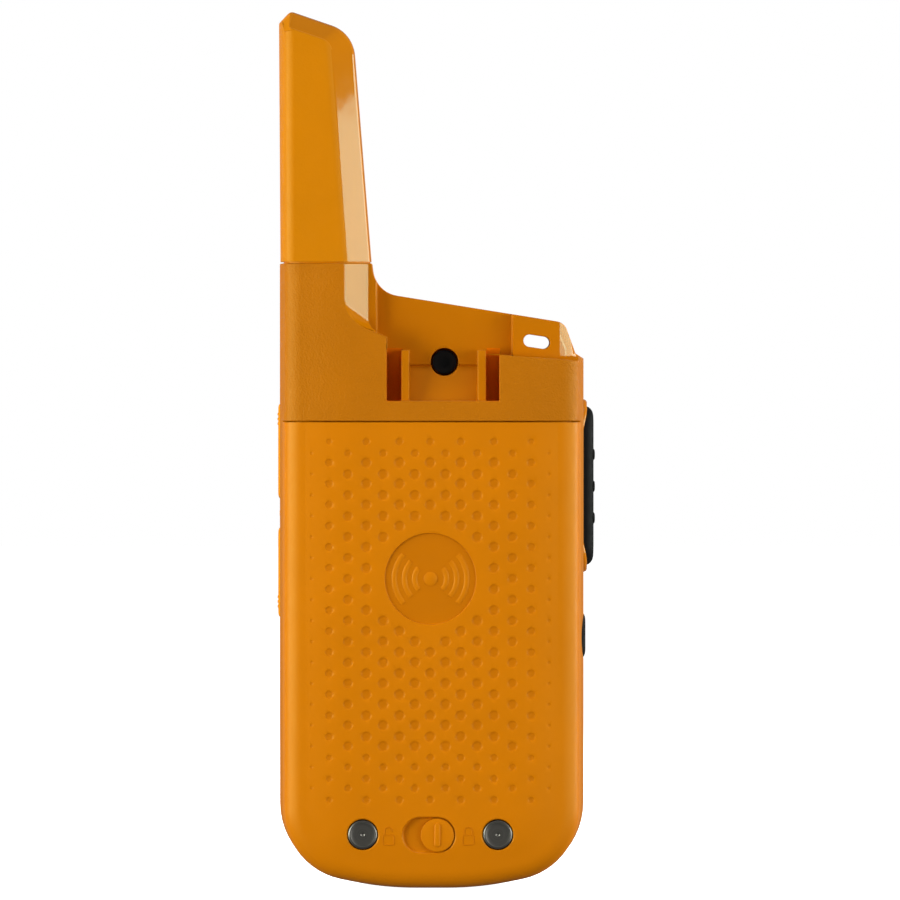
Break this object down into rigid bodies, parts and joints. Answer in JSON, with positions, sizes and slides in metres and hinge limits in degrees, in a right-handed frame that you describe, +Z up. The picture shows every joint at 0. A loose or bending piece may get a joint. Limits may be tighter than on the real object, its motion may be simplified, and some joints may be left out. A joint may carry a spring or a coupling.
{
  "type": "two way radio",
  "caption": "Hand-held two way radio with an orange body, stub antenna, clip bay, dimpled battery cover with a sliding latch, and a push-to-talk pad on its side.",
  "frame": {"origin": "middle of the flat foot at the bottom of the housing", "axes": "+Z up along the antenna, +Y out of the back where the battery cover is, -Y out of the front, +X towards the antenna's side"},
  "size_m": [0.0597, 0.032, 0.1644],
  "materials": {
    "textured_orange": "fine spark texture",
    "smooth_orange": "satin to glossy moulded",
    "cover_orange": "satin moulded",
    "orange_rubber": "soft satin",
    "black_rubber": "matt",
    "black_plastic": "satin",
    "lens": "polished",
    "display": "matt liquid crystal panel",
    "nickel": "turned nickel plate",
    "steel": "tinned sheet",
    "brass": "drawn",
    "board": "solder mask",
    "core": "moulded",
    "cell": "printed sleeve without print"
  },
  "bodies": {
    "radio_body": {"antenna_coil": "brass", "antenna_core": "core", "antenna_cover": "textured_orange", "antenna_feed": "brass", "battery_cell_1": "cell", "battery_cell_2": "cell", "battery_cell_3": "cell", "battery_gasket": "black_rubber", "battery_plate_1": "nickel", "battery_plate_2": "nickel", "battery_plate_3": "nickel", "battery_spring_1": "nickel", "battery_spring_2": "nickel", "battery_spring_3": "nickel", "charge_contact_left": "nickel", "charge_contact_right": "nickel", "clip_screw": "black_plastic", "display_lens": "lens", "display_module": "display", "front_bezel": "black_plastic", "front_housing": "smooth_orange", "headset_jack": "black_plastic", "housing_gasket": "black_rubber", "housing_screw_1": "steel", "housing_screw_2": "steel", "housing_screw_3": "steel", "housing_screw_4": "steel", "keypad_membrane": "black_rubber", "main_board": "board", "microphone": "steel", "port_cover_anchor": "orange_rubber", "ptt_switch": "steel", "rear_housing": "textured_orange", "rf_shield": "steel", "side_switch": "steel", "speaker_cone": "black_plastic", "speaker_frame": "steel", "speaker_magnet": "steel", "speaker_mesh": "black_plastic", "usb_port": "steel"},
    "battery_cover": {"battery_cover": "cover_orange"},
    "battery_latch": {"battery_latch": "cover_orange"},
    "ptt_button": {"ptt_button": "black_rubber"},
    "side_button": {"side_button": "black_rubber"},
    "port_flap_upper": {"port_flap_upper": "orange_rubber"},
    "port_flap_lower": {"port_flap_lower": "orange_rubber"},
    "key_power": {"key_power": "black_rubber"},
    "key_up": {"key_up": "black_rubber"},
    "key_call": {"key_call": "black_rubber"},
    "key_menu": {"key_menu": "black_rubber"},
    "key_down": {"key_down": "black_rubber"},
    "key_scan": {"key_scan": "black_rubber"}
  },
  "joints": [
    {"name": "battery_cover_swing", "type": "hinge", "parent": "radio_body", "child": "battery_cover", "pos_m": [0, 0.0153, 0.0873], "axis": [1, 0, 0], "range_deg": [0, 35]},
    {"name": "battery_latch_slide", "type": "slide", "parent": "battery_cover", "child": "battery_latch", "axis": [1, 0, 0], "range_m": [0, 0.0032]},
    {"name": "ptt_press", "type": "slide", "parent": "radio_body", "child": "ptt_button", "axis": [1, 0, 0], "range_m": [0, 0.0009], "stiffness_N_per_m": 2500},
    {"name": "side_button_press", "type": "slide", "parent": "radio_body", "child": "side_button", "axis": [1, 0, 0], "range_m": [0, 0.0006], "stiffness_N_per_m": 2500},
    {"name": "port_flap_upper_bend", "type": "hinge", "parent": "radio_body", "child": "port_flap_upper", "pos_m": [0.0276, -0.00875, 0.0722], "axis": [0, 1, 0], "range_deg": [0, 75], "stiffness_Nm_per_rad": 0.002},
    {"name": "port_flap_lower_bend", "type": "hinge", "parent": "radio_body", "child": "port_flap_lower", "pos_m": [0.0276, -0.00875, 0.0679], "axis": [0, -1, 0], "range_deg": [0, 75], "stiffness_Nm_per_rad": 0.002},
    {"name": "key_power_press", "type": "slide", "parent": "radio_body", "child": "key_power", "axis": [0, 1, 0], "range_m": [0, 0.0006], "stiffness_N_per_m": 1500},
    {"name": "key_up_press", "type": "slide", "parent": "radio_body", "child": "key_up", "axis": [0, 1, 0], "range_m": [0, 0.0006], "stiffness_N_per_m": 1500},
    {"name": "key_call_press", "type": "slide", "parent": "radio_body", "child": "key_call", "axis": [0, 1, 0], "range_m": [0, 0.0006], "stiffness_N_per_m": 1500},
    {"name": "key_menu_press", "type": "slide", "parent": "radio_body", "child": "key_menu", "axis": [0, 1, 0], "range_m": [0, 0.0006], "stiffness_N_per_m": 1500},
    {"name": "key_down_press", "type": "slide", "parent": "radio_body", "child": "key_down", "axis": [0, 1, 0], "range_m": [0, 0.0006], "stiffness_N_per_m": 1500},
    {"name": "key_scan_press", "type": "slide", "parent": "radio_body", "child": "key_scan", "axis": [0, 1, 0], "range_m": [0, 0.0006], "stiffness_N_per_m": 1500}
  ]
}
